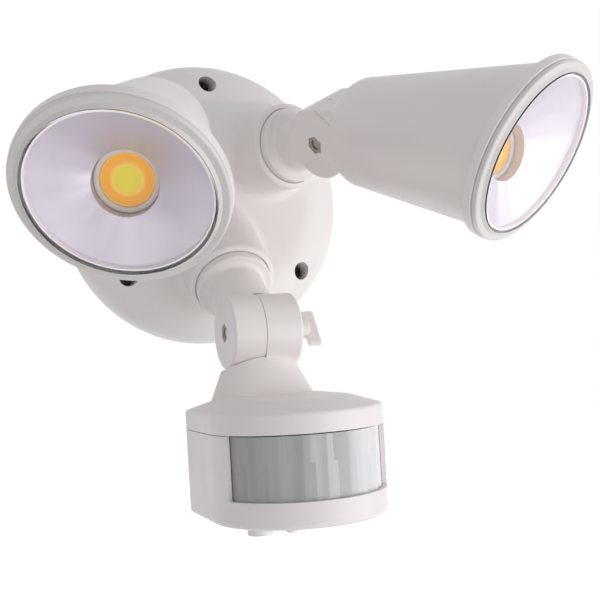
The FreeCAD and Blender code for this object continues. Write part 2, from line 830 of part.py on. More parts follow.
def sensor_case():
    case = head_block(head_bottom, cap_bottom)
    case = rounded(case, lip_edge_radius, lambda e: at_height(e, head_bottom))
    case = case.cut(head_block(head_bottom + head_wall, cap_bottom + 1, head_wall))
    case = case.cut(sector(head_radius + 5, window_half_angle, window_bottom, cap_bottom + 1))
    for x in dial_x:
        hole = Part.makeCylinder(dial_shaft_radius + seat_gap, 2 * head_wall,
                                 V(x, -dial_depth, head_bottom - 1), Z_AXIS)
        case = case.cut(hole)
    return case


def fresnel_lens():
    span = window_half_angle + window_lens_lap
    low = window_bottom - window_lens_foot
    high = cap_bottom - part_gap
    outer = sector(fresnel_radius, span, low, high)
    inner = Part.makeCylinder(fresnel_radius - fresnel_thickness, high - low + 2,
                              V(0, -head_arc_depth, low - 1), Z_AXIS)
    return outer.cut(inner)


floor_top = head_bottom + head_wall


def sensor_board():
    half = sensor_board_width / 2
    return block(-half, half, sensor_board_depth, sensor_board_depth + board_thickness,
                 floor_top, cap_bottom - 1)


def pyro_sensor():
    front = sensor_board_depth + board_thickness
    body = rod(pyro_radius, front, front + pyro_height, 0, -pyro_drop)
    return body.fuse(rod(pyro_radius + pyro_flange, front, front + pyro_flange_height, 0, -pyro_drop))


def trimmers():
    width, depth, height = trimmer_size
    bodies = []
    back = dial_depth - depth / 2
    for x in dial_x:
        body = block(x - width / 2, x + width / 2, back, back + depth,
                     floor_top, floor_top + height)
        hole = Part.makeCylinder(dial_shaft_radius + hinge_fit, height - 1,
                                 V(x, -dial_depth, floor_top - 0.5), Z_AXIS)
        bodies.append(body.cut(hole))
    return group(bodies)


def dial(index):
    """A setting knob below the case, with its shaft up into the trimmer."""
    x = dial_x[index]
    y = -dial_depth
    r = dial_radius[index]
    low = head_bottom - seat_gap - dial_height[index]
    knob = Part.makeCylinder(r, dial_height[index], V(x, y, low), Z_AXIS)
    knob = rounded(knob, dial_edge_radius, lambda e: at_height(e, low))
    slot = Part.makeBox(2 * r, dial_slot_width, dial_slot_depth,
                        V(x - r, y - dial_slot_width / 2, low - 0.001))
    shaft_top = floor_top + trimmer_size[2] - 2
    shaft = Part.makeCylinder(dial_shaft_radius, shaft_top - low - 1, V(x, y, low + 1), Z_AXIS)
    return knob.cut(slot).fuse(shaft)


def wing_bolt():
    start = sensor_ear_width + seat_gap
    tip = -sensor_arm_ear_width + bolt_tip_sink
    shank = cross_pin(hinge_bolt_radius, tip, start)
    hub = cross_pin(wing_hub_radius, start, start + wing_hub_length)
    hub = rounded(hub, wing_hub_edge_radius,
                  lambda e: abs(e.CenterOfMass.x - start - wing_hub_length) < 0.01)
    wing = Part.makeBox(wing_length, wing_thickness, 2 * wing_half_span,
                        V(start + wing_start, -wing_thickness / 2, -wing_half_span))
    wing = rounded(wing, wing_edge_radius, lambda e: True)
    wing.rotate(V(), X_AXIS, -wing_lean - sensor_boss_droop)
    return shank.fuse(hub).fuse(wing)


# ---------------------------------------------------------------- writing out
def write(name, shape):
    solids = shape.Solids
    if not solids or not all(s.isValid() and s.isClosed() for s in solids):
        raise ValueError(name + " is not a closed solid")
    out = solids[0] if len(solids) == 1 else group(solids)
    out.exportStep(os.path.join("parts", name + ".step"))
    print(name, len(solids), round(out.Volume / 1000, 2), "cm3")


def write_base():
    write("wall_gasket", wall_gasket())
    write("wall_plate", wall_plate())
    write("base_cover", base_cover())
    write("cover_screws", group([cover_screw(x, z) for x, z in screw_spots()]))
    write("cable_grommet", cable_grommet())
    write("control_board", control_board())
    write("led_driver", on_board(driver_size, driver_offset))
    write("relay", on_board(relay_size, relay_offset))
    write("terminal_block", terminal_block())
    write("terminal_screws", terminal_screws())


def write_arm(name, frame, reach, ear_width):
    arm = swivel_arm(reach, ear_width).cut(swivel_seal(reach))
    write(name + "_arm", moved(arm, frame))
    write(name + "_arm_seal", moved(swivel_seal(reach), frame))
    write(name + "_arm_nut", moved(lock_nut(reach), frame))
    write(name + "_hinge_nut", moved(hinge_nut(ear_width), frame))


def write_lamp(side):
    write_arm(side + "_lamp", lamp_arm[side], lamp_reach, arm_ear_width)
    write(side + "_hinge_bolt", moved(hinge_bolt(), lamp_arm[side]))
    pieces = {"shell": lamp_shell, "bezel": bezel, "lens": lens, "lens_seal": lens_seal,
              "reflector": reflector, "led_board": led_board, "led_chip": led_chip,
              "heat_sink": heat_sink}
    for piece, make in pieces.items():
        write(side + "_" + piece, moved(make(), lamp_frame[side]))


def write_sensor():
    write_arm("sensor", sensor_arm_frame, sensor_reach, sensor_arm_ear_width)
    write("wing_bolt", moved(wing_bolt(), sensor_arm_frame))
    pieces = {"sensor_cap": sensor_cap, "sensor_case": sensor_case,
              "fresnel_lens": fresnel_lens, "sensor_board": sensor_board,
              "pyro_sensor": pyro_sensor, "trimmers": trimmers}
    for name, make in pieces.items():
        write(name, moved(make(), sensor_frame))
    write("time_dial", moved(dial(0), sensor_frame))
    write("dusk_dial", moved(dial(1), sensor_frame))


def print_joint(name, frame, axis):
    at = frame.Base
    way = frame.Rotation.multVec(axis)
    print("JOINT", name, [round(c, 4) for c in at], [round(c, 6) for c in way])


def print_joints():
    for side in ("left", "right"):
        print_joint(side + "_arm_swivel", lamp_boss[side], -Y_AXIS)
        print_joint(side + "_lamp_tilt", lamp_arm[side], X_AXIS)
    print_joint("sensor_arm_swivel", sensor_boss, -Y_AXIS)
    print_joint("sensor_tilt", sensor_arm_frame, X_AXIS)
    print_joint("wing_bolt_turn", sensor_arm_frame, X_AXIS)
    for name, x in zip(("time_dial_turn", "dusk_dial_turn"), dial_x):
        print_joint(name, sensor_frame.multiply(shift(x, -dial_depth, head_bottom)), Z_AXIS)


os.makedirs("parts", exist_ok=True)
write_base()
write_lamp("left")
write_lamp("right")
write_sensor()
print_joints()
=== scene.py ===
# %% [markdown]
# # A motion sensor security light, dressed in Blender
#
# The real object is a wall light for outdoors: a round white plastic base, two LED lamp heads on jointed
# arms, and a motion sensor on a third arm below them. Every hard piece comes from the CAD frame, in its
# place and at its real size. This file gives each piece its finish, adds the fine pieces that a CAD solid
# leaves out, and sets up the camera and the light of a product photograph.

import math

import bpy
from mathutils import Matrix, Vector


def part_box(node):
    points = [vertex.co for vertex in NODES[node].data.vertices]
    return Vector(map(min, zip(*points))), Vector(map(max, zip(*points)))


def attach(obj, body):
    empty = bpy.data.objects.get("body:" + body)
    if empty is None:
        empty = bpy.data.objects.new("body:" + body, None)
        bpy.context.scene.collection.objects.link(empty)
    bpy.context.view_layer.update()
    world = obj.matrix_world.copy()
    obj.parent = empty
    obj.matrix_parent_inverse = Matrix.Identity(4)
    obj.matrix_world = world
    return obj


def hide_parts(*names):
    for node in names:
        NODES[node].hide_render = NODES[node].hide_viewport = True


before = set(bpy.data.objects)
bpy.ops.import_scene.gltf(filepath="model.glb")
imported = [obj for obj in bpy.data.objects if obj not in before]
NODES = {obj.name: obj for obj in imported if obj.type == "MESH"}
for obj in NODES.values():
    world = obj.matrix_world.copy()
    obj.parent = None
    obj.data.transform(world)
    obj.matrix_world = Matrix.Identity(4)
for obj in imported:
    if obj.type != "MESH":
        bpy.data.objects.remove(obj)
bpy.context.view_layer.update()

# %% [markdown]
# The CAD is drawn in millimetres and Blender here works in metres, so one factor turns the one into the
# other. The places below repeat the light's own geometry: where each lamp sits on its hinge, and how far in
# front of the hinge the LED and the front face are. The last lines compare the LED's place with the CAD's:
# half of its thickness should be left.

# %% Sizes and places
MM = 0.001
SIDES = {"left": -1, "right": 1}
LAMP_BOSS = (33.8, -60.9, 22.8)               # the right one's front; the left one mirrors it
LAMP_SPLAY = 15.6                             # degrees that the boss leans outward
LAMP_DROOP = 1.4                              # degrees that it leans down
LAMP_REACH = 36.3                             # from the boss to the hinge
LAMP_SWIVEL = {"left": -14.5, "right": 27.0}  # degrees that the arm is turned in its boss
LAMP_TILT = {"left": 23.2, "right": 16.3}     # degrees that the lamp is tilted on its hinge
AXIS_RISE = 2.8                               # of the lamp's axis over the hinge
LED_DEPTH = 93.5                              # along the axis, from the hinge to the LED's face
LED_RADIUS = 10.3
FACE_DEPTH = 115.4                            # along the axis, to the centre of the front face
FACE_TILT = 20.1                              # degrees that the front face leans against the axis


def shift(x, y, z):
    """A move given in millimetres."""
    return Matrix.Translation(Vector((x, y, z)) * MM)


def turn(degrees, axis):
    """A turn about an axis, given in degrees."""
    return Matrix.Rotation(math.radians(degrees), 4, axis)


def lamp_axis(side):
    """The lamp head's own frame: its axis runs along -Y from the hinge."""
    s = SIDES[side]
    boss = shift(s * LAMP_BOSS[0], LAMP_BOSS[1], LAMP_BOSS[2]) @ turn(s * LAMP_SPLAY, "Z")
    arm = boss @ turn(LAMP_DROOP, "X") @ shift(0, -LAMP_REACH, 0)
    swivel = turn(LAMP_SWIVEL[side], Vector((0, -1, 0)))
    return arm @ swivel @ turn(LAMP_TILT[side], "X") @ shift(0, 0, AXIS_RISE)


for side in SIDES:
    low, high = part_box(side + "_led_chip")
    led_face = lamp_axis(side) @ (Vector((0, -LED_DEPTH, 0)) * MM)
    gap = ((low + high) / 2 - led_face).length / MM
    print("the middle of the", side, "LED's CAD box is", round(gap, 2), "mm from its face")

# %% [markdown]
# The photograph was taken from a little to the left of the light and from just below it, with a normal
# lens about half a metre away. The camera stands there, and its slight roll is part of the picture. Its
# three axes are worked out from two angles and the roll, which is surer than turning it by hand.

# %% Camera
CAMERA_AZIMUTH = math.radians(-20.81)
CAMERA_ELEVATION = math.radians(-2.21)
CAMERA_ROLL = math.radians(3.4)
CAMERA_DISTANCE = 521.8
CAMERA_PIVOT = Vector((0, -57.69, 0))
CAMERA_AIM = (32.52, -56.26)                  # rightward and upward from the pivot, as the camera sees it
FOCAL_LENGTH = 62.71
SENSOR_WIDTH = 36.0

back = Vector((math.sin(CAMERA_AZIMUTH) * math.cos(CAMERA_ELEVATION),
               -math.cos(CAMERA_AZIMUTH) * math.cos(CAMERA_ELEVATION),
               math.sin(CAMERA_ELEVATION)))
right = Vector((math.cos(CAMERA_AZIMUTH), math.sin(CAMERA_AZIMUTH), 0))
up = back.cross(right)
rolled_right = right * math.cos(CAMERA_ROLL) - up * math.sin(CAMERA_ROLL)
rolled_up = up * math.cos(CAMERA_ROLL) + right * math.sin(CAMERA_ROLL)
aim = CAMERA_PIVOT + right * CAMERA_AIM[0] + up * CAMERA_AIM[1]

bpy.ops.object.camera_add()
camera = bpy.context.object
camera.name = "photograph_camera"
axes = Matrix((rolled_right, rolled_up, back)).transposed().to_4x4()
camera.matrix_world = Matrix.Translation((aim + back * CAMERA_DISTANCE) * MM) @ axes
camera.data.lens = FOCAL_LENGTH
camera.data.sensor_width = SENSOR_WIDTH
camera.data.clip_start = 0.02
camera.data.clip_end = 50
bpy.context.scene.camera = camera
bpy.context.scene.view_settings.view_transform = "Standard"
print("camera at", tuple(round(v, 3) for v in camera.location))

# %% [markdown]
# Colours are written as sRGB hex values, as a paint chart gives them. Blender's shaders work in linear
# light, so one function turns them. Another adds a shader node: each input is given a number, a colour or
# another node's socket, and the function sets or links it. A new material starts with its nodes cleared,
# and its patterns use Object coordinates, so that they keep to the piece when it moves.


# %% Colour and node helpers
def linear(hex_colour):
    """An sRGB hex value as linear red, green, blue and alpha."""
    parts = [int(hex_colour[i:i + 2], 16) / 255 for i in (1, 3, 5)]
    return [c / 12.92 if c <= 0.04045 else ((c + 0.055) / 1.055) ** 2.4 for c in parts] + [1.0]


def add(tree, kind, inputs=None, stops=(), **settings):
    """Adds a node with its settings, its inputs (values or sockets) and, for a ramp, its colour stops."""
    node = tree.nodes.new("ShaderNode" + kind)
    for name, value in settings.items():
        setattr(node, name, value)
    for name, value in (inputs or {}).items():
        socket = node.inputs[name]
        if isinstance(value, bpy.types.NodeSocket):
            tree.links.new(value, socket)
        else:
            socket.default_value = linear(value) if isinstance(value, str) else value
    for position, colour in stops[1:-1]:
        node.color_ramp.elements.new(position)
    if stops:
        for element, (position, colour) in zip(node.color_ramp.elements, stops):
            element.position = position
            element.color = linear(colour)
    return node


def new_material(name):
    """An empty node material, its tree and its Object coordinates."""
    material = bpy.data.materials.new(name)
    material.use_nodes = True
    tree = material.node_tree
    tree.nodes.clear()
    return material, tree, add(tree, "TexCoord").outputs["Object"]


def scale_for(size_mm):
    """A texture's scale that gives a pattern of this size."""
    return 1 / (size_mm * MM)


print("mid grey in linear light:", [round(c, 3) for c in linear("#808080")])

# %% [markdown]
# The housing is moulded from white ASA, a plastic that sunlight doesn't yellow. The mould's inside is
# spark-eroded, which leaves an even satin skin with a very fine grain. The real grain is near 0.1 mm, too
# fine to show here, so it is drawn at 0.5 mm or more. The colour drifts by a shade over a few centimetres,
# as it does in any moulding. The light's other plastics are made in the same way, so they share the function.

# %% Moulded plastics
DRIFT_SIZE = 45
SKIN_SIZE = 9


def moulded_plastic(name, light, dark, roughness, grain_mm=0.5, grain_depth=0.012):
    material, tree, place = new_material(name)
    drift = add(tree, "TexNoise", {"Vector": place, "Scale": scale_for(DRIFT_SIZE), "Detail": 2.0})
    colour = add(tree, "ValToRGB", {"Fac": drift.outputs["Fac"]}, stops=[(0.3, dark), (0.7, light)])
    skin = add(tree, "TexNoise", {"Vector": place, "Scale": scale_for(SKIN_SIZE), "Detail": 3.0})
    rough = add(tree, "MapRange", {"Value": skin.outputs["Fac"], "From Min": 0.3, "From Max": 0.7,
                                   "To Min": roughness - 0.04, "To Max": roughness + 0.05})
    grain = add(tree, "TexNoise", {"Vector": place, "Scale": scale_for(grain_mm), "Detail": 2.0})
    bump = add(tree, "Bump", {"Height": grain.outputs["Fac"], "Distance": grain_depth * MM, "Strength": 0.6})
    surface = add(tree, "BsdfPrincipled", {"Base Color": colour.outputs["Color"],
                                           "Roughness": rough.outputs["Result"],
                                           "Normal": bump.outputs["Normal"], "IOR": 1.52})
    add(tree, "OutputMaterial", {"Surface": surface.outputs["BSDF"]})
    return material


housing_asa = moulded_plastic("white_asa_moulded_satin", "#F3EEED", "#EEE8E7", 0.42)
lamp_asa = moulded_plastic("white_asa_lamp_shell", "#F3EDEC", "#EDE6E6", 0.40)
# The bezel is the housing's white ASA, drawn greyer and darker as painted shade, because its face turns away
# from the lamp.
bezel_asa_painted_shade = moulded_plastic("white_asa_bezel_painted_shade", "#E2DDDC", "#DAD5D4", 0.36, 0.6)
inner_asa = moulded_plastic("white_asa_inner_moulding", "#E6E1DF", "#DED9D6", 0.50, 0.8, 0.03)
dial_pom = moulded_plastic("white_pom_setting_dial", "#F2EFEC", "#ECE9E5", 0.35)
wing_pom = moulded_plastic("white_pom_wing_bolt", "#F1ECEA", "#EAE4E2", 0.38)
dark_pbt = moulded_plastic("black_pbt_driver_case", "#26282A", "#1D1F21", 0.45, 0.9, 0.02)
relay_case = moulded_plastic("blue_pbt_relay_case", "#2B5CA0", "#244E8A", 0.35, 0.9, 0.01)
terminal_pa = moulded_plastic("grey_polyamide_terminal", "#C4C7C4", "#B7BAB7", 0.40, 0.9, 0.02)
holder_pbt = moulded_plastic("cream_pbt_led_holder", "#DCD2C6", "#D3C8BB", 0.45, 0.9, 0.01)
print("plastics:", [m.name for m in bpy.data.materials])

# %% [markdown]
# The gasket, the grommet and the swivel seals are EPDM, the rubber of window and pipe seals. It is matt and
# very slightly mottled, and a bloom of talc from the factory lifts its high spots to grey. The lens seal is
# a paler silicone with the same matt skin.

# %% Rubbers
BLOOM_SIZE = 3


def rubber(name, light, dark):
    material, tree, place = new_material(name)
    bloom = add(tree, "TexNoise", {"Vector": place, "Scale": scale_for(BLOOM_SIZE), "Detail": 5.0})
    colour = add(tree, "ValToRGB", {"Fac": bloom.outputs["Fac"]}, stops=[(0.35, dark), (0.75, light)])
    bump = add(tree, "Bump", {"Height": bloom.outputs["Fac"], "Distance": 0.05 * MM, "Strength": 0.5})
    surface = add(tree, "BsdfPrincipled", {"Base Color": colour.outputs["Color"], "Roughness": 0.78,
                                           "IOR": 1.5, "Normal": bump.outputs["Normal"]})
    add(tree, "OutputMaterial", {"Surface": surface.outputs["BSDF"]})
    return material


epdm = rubber("black_epdm_seal", "#3A3A3B", "#232324")
flange_epdm = rubber("grey_epdm_swivel_seal", "#6D6A66", "#565350")
silicone = rubber("clear_silicone_lens_seal", "#C9C7C3", "#BDBBB7")
print("rubbers:", epdm.name, flange_epdm.name, silicone.name)

# %% [markdown]
# Bolts and nuts are zinc-plated steel: a grey metal with a fine tumbled surface. The cover screws are drawn
# near black as painted shade, which stands for the shadow in their deep wells. The heat sinks are die-cast
# aluminium, duller and blotchy.
# All are metals, so their colour is the colour of their reflections. The real grain of the plating is finer
# than would show, so it is drawn at 0.9 mm.


# %% Metals
def metal(name, light, dark, roughness, patch_mm, bump_mm):
    material, tree, place = new_material(name)
    patch = add(tree, "TexNoise", {"Vector": place, "Scale": scale_for(patch_mm), "Detail": 6.0,
                                   "Roughness": 0.6})
    colour = add(tree, "ValToRGB", {"Fac": patch.outputs["Fac"]}, stops=[(0.3, dark), (0.7, light)])
    rough = add(tree, "MapRange", {"Value": patch.outputs["Fac"], "From Min": 0.3, "From Max": 0.7,
                                   "To Min": roughness + 0.1, "To Max": roughness - 0.05})
    bump = add(tree, "Bump", {"Height": patch.outputs["Fac"], "Distance": bump_mm * MM, "Strength": 0.5})
    surface = add(tree, "BsdfPrincipled", {"Base Color": colour.outputs["Color"], "Metallic": 1.0,
                                           "Roughness": rough.outputs["Result"],
                                           "Normal": bump.outputs["Normal"]})
    add(tree, "OutputMaterial", {"Surface": surface.outputs["BSDF"]})
    return material


zinc_steel = metal("zinc_plated_steel", "#A59C96", "#8B837D", 0.34, 0.9, 0.01)
# Painted shade: the cover screws are drawn near black to stand for the shadow in their deep wells.
screw_steel_painted_shade = metal("dark_steel_screw_painted_shade", "#4A423A", "#332D27", 0.40, 0.9, 0.01)
cast_aluminium = metal("die_cast_aluminium", "#B9BABA", "#A2A4A5", 0.48, 1.6, 0.04)
sensor_can = metal("nickel_plated_can", "#C9C5BC", "#B7B2A8", 0.25, 2.0, 0.005)
print("metals:", zinc_steel.name, screw_steel_painted_shade.name, cast_aluminium.name, sensor_can.name)

# %% [markdown]
# Both the reflector and the LED are round about the lamp's own axis, and the lamp is tilted in the scene. A
# Mapping node turns Object coordinates into the lamp's frame, where X and Z cross the axis, so rings come
# from the distance to the axis and wedges from the angle round it.


# %% Coordinates across a lamp
def across_lamp(tree, place, axis):
    """The X and Z of a point in the lamp's own frame, as two sockets."""
    local = add(tree, "Mapping", {"Vector": place, "Location": axis.to_translation(),
                                  "Rotation": axis.to_euler("XYZ")}, vector_type="TEXTURE")
    parts = add(tree, "SeparateXYZ", {"Vector": local.outputs["Vector"]})
    return parts.outputs["X"], parts.outputs["Z"]


def distance_from_axis(tree, place, axis):
    """The distance in metres from the lamp's axis, as a socket."""
    x, z = across_lamp(tree, place, axis)
    flat = add(tree, "CombineXYZ", {"X": x, "Z": z})
    return add(tree, "VectorMath", {0: flat.outputs["Vector"]}, operation="LENGTH").outputs["Value"]


for side in SIDES:
    print(side, "lamp's hinge line is at", tuple(round(v, 4) for v in lamp_axis(side).to_translation()))

# %% [markdown]
# The reflector is a polycarbonate bowl that was coated with aluminium in a vacuum over a matt lacquer. It
# mirrors its surroundings only softly, so it looks pale lilac under a white studio. It is a metal finish
# with a middling roughness. Its bowl is pressed into shallow wedges that mix the light, which show as soft
# rays, and it is wavy over a centimetre or so, as thin mouldings are.

# %% Reflector finish
REFLECTOR_WEDGES = 12
RIPPLE_SIZE = 14


def satin_mirror(side, colour_hex, roughness):
    material, tree, place = new_material(side + "_vacuum_metallised_reflector")
    x, z = across_lamp(tree, place, lamp_axis(side))
    angle = add(tree, "Math", {0: z, 1: x}, operation="ARCTAN2")
    turns = add(tree, "Math", {0: angle.outputs["Value"], 1: float(REFLECTOR_WEDGES)}, operation="MULTIPLY")
    wave = add(tree, "Math", {0: turns.outputs["Value"]}, operation="SINE")
    ripple = add(tree, "TexNoise", {"Vector": place, "Scale": scale_for(RIPPLE_SIZE), "Detail": 0.0})
    height = add(tree, "Math", {0: wave.outputs["Value"], 1: 0.5, 2: ripple.outputs["Fac"]},
                 operation="MULTIPLY_ADD")
    bump = add(tree, "Bump", {"Height": height.outputs["Value"], "Distance": 0.5 * MM, "Strength": 0.5})
    rough = add(tree, "MapRange", {"Value": ripple.outputs["Fac"], "From Min": 0.3, "From Max": 0.7,
                                   "To Min": roughness - 0.05, "To Max": roughness + 0.05})
    surface = add(tree, "BsdfPrincipled", {"Base Color": colour_hex, "Metallic": 0.8,
                                           "Roughness": rough.outputs["Result"],
                                           "Normal": bump.outputs["Normal"]})
    add(tree, "OutputMaterial", {"Surface": surface.outputs["BSDF"]})
    return material


reflector_skin = {side: satin_mirror(side, "#D0CAD3", 0.50) for side in SIDES}
print("reflector skins:", [m.name for m in reflector_skin.values()])

# %% [markdown]
# The lamp's front lens is clear polycarbonate, about 2 mm thick, with a coat that cuts its reflections, so
# its IOR is matched at 1.35. As glass in the shader it bends and mirrors light as the real one does. A
# renderer finds it hard to send lamp light through glass, so shadow rays pass it as if it weren't there.

# %% Clear polycarbonate
HAZE_SIZE = 30


def clear_plastic(name, tint, roughness):
    material, tree, place = new_material(name)
    haze = add(tree, "TexNoise", {"Vector": place, "Scale": scale_for(HAZE_SIZE), "Detail": 2.0})
    rough = add(tree, "MapRange", {"Value": haze.outputs["Fac"], "From Min": 0.3, "From Max": 0.7,
                                   "To Min": roughness, "To Max": roughness + 0.02})
    surface = add(tree, "BsdfPrincipled", {"Base Color": tint, "Roughness": rough.outputs["Result"],
                                           "IOR": 1.35, "Transmission Weight": 1.0})
    open_way = add(tree, "BsdfTransparent", {"Color": tint})
    rays = add(tree, "LightPath")
    both = add(tree, "MixShader", {"Fac": rays.outputs["Is Shadow Ray"], 1: surface.outputs["BSDF"],
                                   2: open_way.outputs["BSDF"]})
    add(tree, "OutputMaterial", {"Surface": both.outputs["Shader"]})
    return material


clear_pc = clear_plastic("clear_polycarbonate_lens", "#FBFAFC", 0.01)
print("clear plastic:", clear_pc.name)

# %% [markdown]
# The printed boards carry a coloured solder mask, green on glass-fibre laminate and cream on the LED's metal
# board. Copper tracks show through it as lines of another shade. The lines are drawn by a brick texture,
# whose joints are about as wide as real tracks.

# %% Circuit boards
TRACK_PATTERN_SIZE = 9


def solder_mask(name, mask, track):
    material, tree, place = new_material(name)
    tracks = add(tree, "TexBrick", {"Vector": place, "Color1": mask, "Color2": mask, "Mortar": track,
                                    "Scale": scale_for(TRACK_PATTERN_SIZE), "Mortar Size": 0.03,
                                    "Brick Width": 0.6, "Row Height": 0.35}, offset=0.37)
    surface = add(tree, "BsdfPrincipled", {"Base Color": tracks.outputs["Color"], "Roughness": 0.35,
                                           "IOR": 1.5})
    add(tree, "OutputMaterial", {"Surface": surface.outputs["BSDF"]})
    return material


green_board = solder_mask("green_solder_mask_board", "#1F6B3A", "#3E8F57")
cream_board = solder_mask("cream_solder_mask_board", "#D9CFC2", "#CCC1B2")
print("boards:", green_board.name, cream_board.name)

# %% [markdown]
# The LED is a chip-on-board: many small blue chips under a yellow phosphor gel. This one has two zones, a
# warm orange ring and a cool yellow-green centre, each held by a dam of pale silicone. The rings are read
# from the distance to the lamp's axis, so they stay round on the tilted lamp. A phosphor turns the blue in
# daylight to yellow, so it looks brighter than a paint would; a little emission, a painted glow on an LED
# that is switched off, stands for that.

# %% Phosphor
PHOSPHOR_RINGS = [(0.0, "#DAD620"), (0.48, "#D9D220"), (0.51, "#EBD060"), (0.61, "#EDCA58"),
                  (0.64, "#F4AA06"), (0.91, "#F2A404"), (0.94, "#EFC256"), (1.0, "#E8C87E")]
PHOSPHOR_GRAIN = 0.9


def phosphor_gel(side):
    material, tree, place = new_material(side + "_phosphor_silicone_gel")
    radius = distance_from_axis(tree, place, lamp_axis(side))
    share = add(tree, "Math", {0: radius, 1: LED_RADIUS * MM}, operation="DIVIDE")
    rings = add(tree, "ValToRGB", {"Fac": share.outputs["Value"]}, stops=PHOSPHOR_RINGS)
    grain = add(tree, "TexVoronoi", {"Vector": place, "Scale": scale_for(PHOSPHOR_GRAIN)})
    tone = add(tree, "MapRange", {"Value": grain.outputs["Distance"], "To Min": 1.04, "To Max": 0.96})
    speckled = add(tree, "VectorMath", {0: rings.outputs["Color"], "Scale": tone.outputs["Result"]},
                   operation="SCALE")
    # Painted glow: a weak orange emission on the unlit LED.
    surface = add(tree, "BsdfPrincipled", {"Base Color": speckled.outputs["Vector"], "Roughness": 0.45,
                                           "IOR": 1.3, "Emission Color": "#F2A21E",
                                           "Emission Strength": 0.14})
    add(tree, "OutputMaterial", {"Surface": surface.outputs["BSDF"]})
    return material


phosphor = {side: phosphor_gel(side) for side in SIDES}
print("phosphors:", [m.name for m in phosphor.values()])

# %% [markdown]
# The sensor's window is a sheet of milky polyethylene, because that plastic lets body heat through. Its back
# is pressed into two rows of small Fresnel lenses, side by side in columns. The first step is to know where
# a point is on the window: its angle round the head gives the column, and its height gives the row.

# %% Columns and rows of the window
HEAD_ARC_CENTRE = (0.0, -133.54)
WINDOW_STRIPS = 23                            # columns in a full turn
MIDDLE_STRIP = 50.5                           # the number of the column that faces front
ROW_SPLIT = -124.5
ROW_MIDDLES = (-133.0, -118.5)


def window_grid(tree, place):
    """The angle round the head, the column's number, 1 in the upper row, and the height, as sockets."""
    about = add(tree, "VectorMath", {0: place, 1: (HEAD_ARC_CENTRE[0] * MM, HEAD_ARC_CENTRE[1] * MM, 0)},
                operation="SUBTRACT")
    parts = add(tree, "SeparateXYZ", {"Vector": about.outputs["Vector"]})
    front = add(tree, "Math", {0: parts.outputs["Y"], 1: -1.0}, operation="MULTIPLY")
    angle = add(tree, "Math", {0: parts.outputs["X"], 1: front.outputs["Value"]}, operation="ARCTAN2")
    column = add(tree, "Math", {0: angle.outputs["Value"], 1: WINDOW_STRIPS / math.tau, 2: MIDDLE_STRIP},
                 operation="MULTIPLY_ADD")
    upper = add(tree, "Math", {0: parts.outputs["Z"], 1: ROW_SPLIT * MM}, operation="GREATER_THAN")
    return angle.outputs["Value"], column.outputs["Value"], upper.outputs["Value"], parts.outputs["Z"]


print("each column spans", round(360 / WINDOW_STRIPS, 2), "degrees")

# %% [markdown]
# Each small lens has rings of fine grooves about its middle. Real grooves are about 0.3 mm apart and are
# drawn at 0.8 mm, so that they show. They are a sine wave of the distance from the lens's middle, and only
# bump the surface, because grooves so fine would take far too many faces.

# %% Fresnel grooves
LENS_WIDTH = 9.6
GROOVE_SPACING = 0.8


def groove_wave(tree, column, upper, height):
    """A wave that runs out from the middle of each small lens, as a socket."""
    across = add(tree, "Math", {0: column}, operation="FRACT")
    sideways = add(tree, "Math", {0: across.outputs["Value"], 1: LENS_WIDTH, 2: -LENS_WIDTH / 2},
                   operation="MULTIPLY_ADD")
    middle = add(tree, "MapRange", {"Value": upper, "To Min": ROW_MIDDLES[0] * MM,
                                    "To Max": ROW_MIDDLES[1] * MM})
    rise = add(tree, "Math", {0: height, 1: middle.outputs["Result"]}, operation="SUBTRACT")
    rise_mm = add(tree, "Math", {0: rise.outputs["Value"], 1: 1 / MM}, operation="MULTIPLY")
    flat = add(tree, "CombineXYZ", {"X": sideways.outputs["Value"], "Z": rise_mm.outputs["Value"]})
    distance = add(tree, "VectorMath", {0: flat.outputs["Vector"]}, operation="LENGTH")
    turns = add(tree, "Math", {0: distance.outputs["Value"], 1: math.tau / GROOVE_SPACING},
                operation="MULTIPLY")
    return add(tree, "Math", {0: turns.outputs["Value"]}, operation="SINE").outputs["Value"]


print("grooves across a lens:", round(LENS_WIDTH / GROOVE_SPACING))

# %% [markdown]
# To the eye the window is a band of upright grey strips, stepped a little between the rows. Each strip takes
# its tone from its number, by a white noise texture. Long soft streaks of painted shade run through them,
# which stand for the dark inside of the sensor seen through the sheet, and a painted light ramp lightens the
# right side, as if the lamp lit it more.

# %% Fresnel window finish
ROW_STEP = 0.2                                # sideways between the rows, as a share of a column
STREAK_SIZE = 7
STREAK_SQUASH = 0.08
# The span of the painted light on the window's right side.
PAINTED_LIGHT_ANGLES = (0.05, 0.6)                         # radians to the right of the front: where it starts and ends


